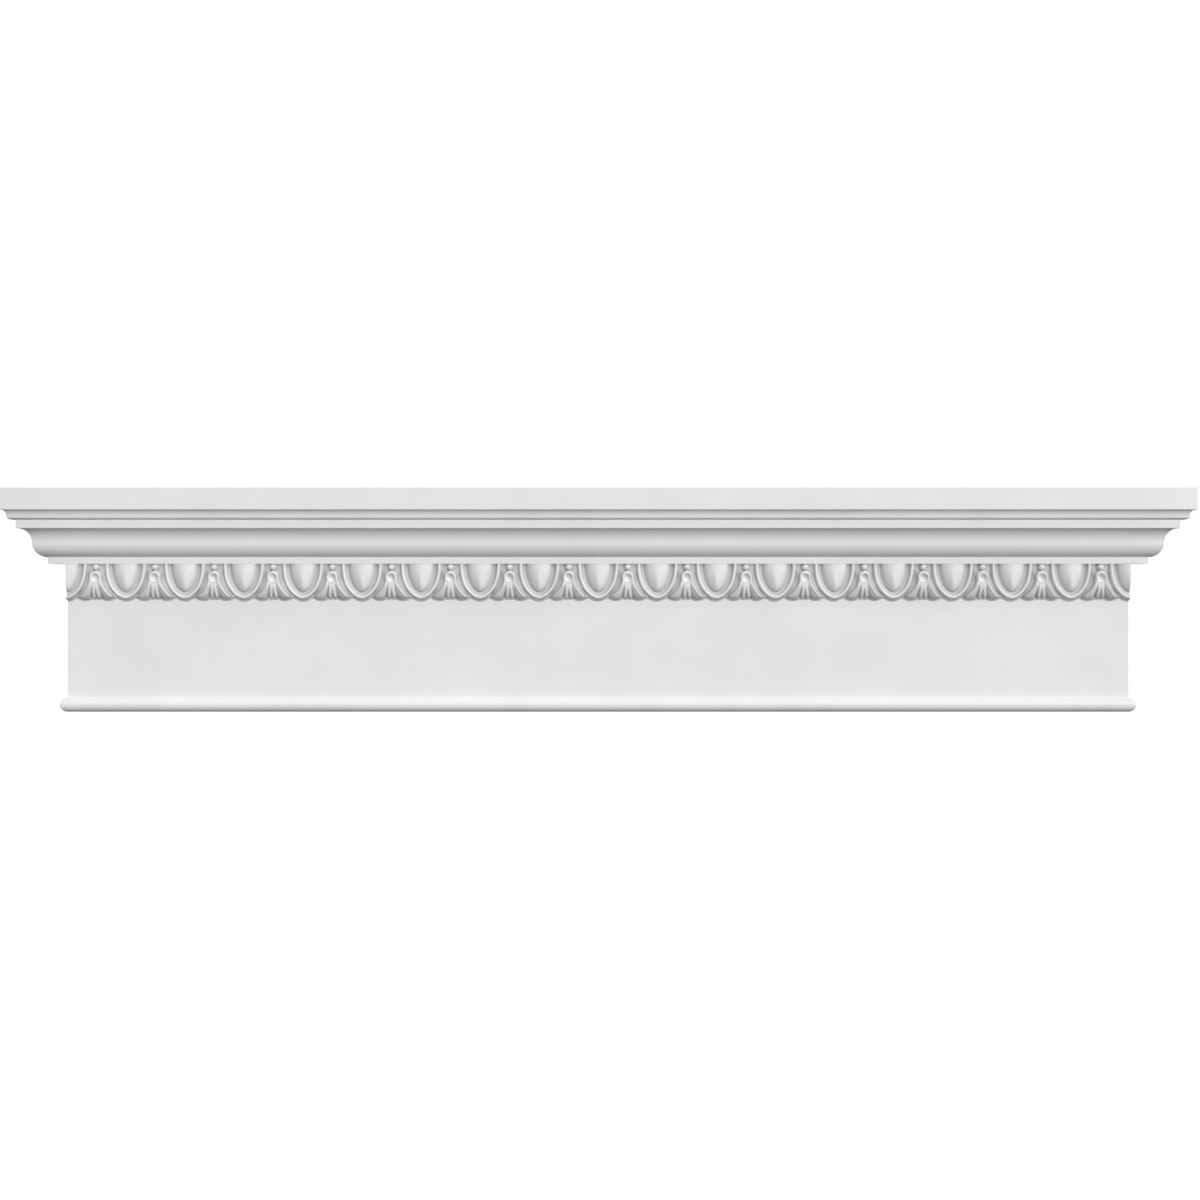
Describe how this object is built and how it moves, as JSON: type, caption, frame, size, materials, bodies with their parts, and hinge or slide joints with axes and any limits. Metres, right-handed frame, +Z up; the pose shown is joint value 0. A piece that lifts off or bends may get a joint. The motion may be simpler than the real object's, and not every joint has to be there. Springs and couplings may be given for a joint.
{
  "type": "crosshead moulding",
  "caption": "White cast crosshead for a door opening: stepped cornice with mitred returns, egg and dart band, plain frieze and half-round bead, flat at the back.",
  "frame": {"origin": "centre of the flat back, on the wall face", "axes": "+X along the moulding to its right end seen from the front, +Y out of the back into the wall, +Z up"},
  "size_m": [1.2104, 0.0846, 0.2286],
  "materials": {
    "primed_polyurethane": "satin white primer on rigid polyurethane foam"
  },
  "bodies": {
    "root": {"crosshead_moulding": "primed_polyurethane"}
  },
  "joints": []
}
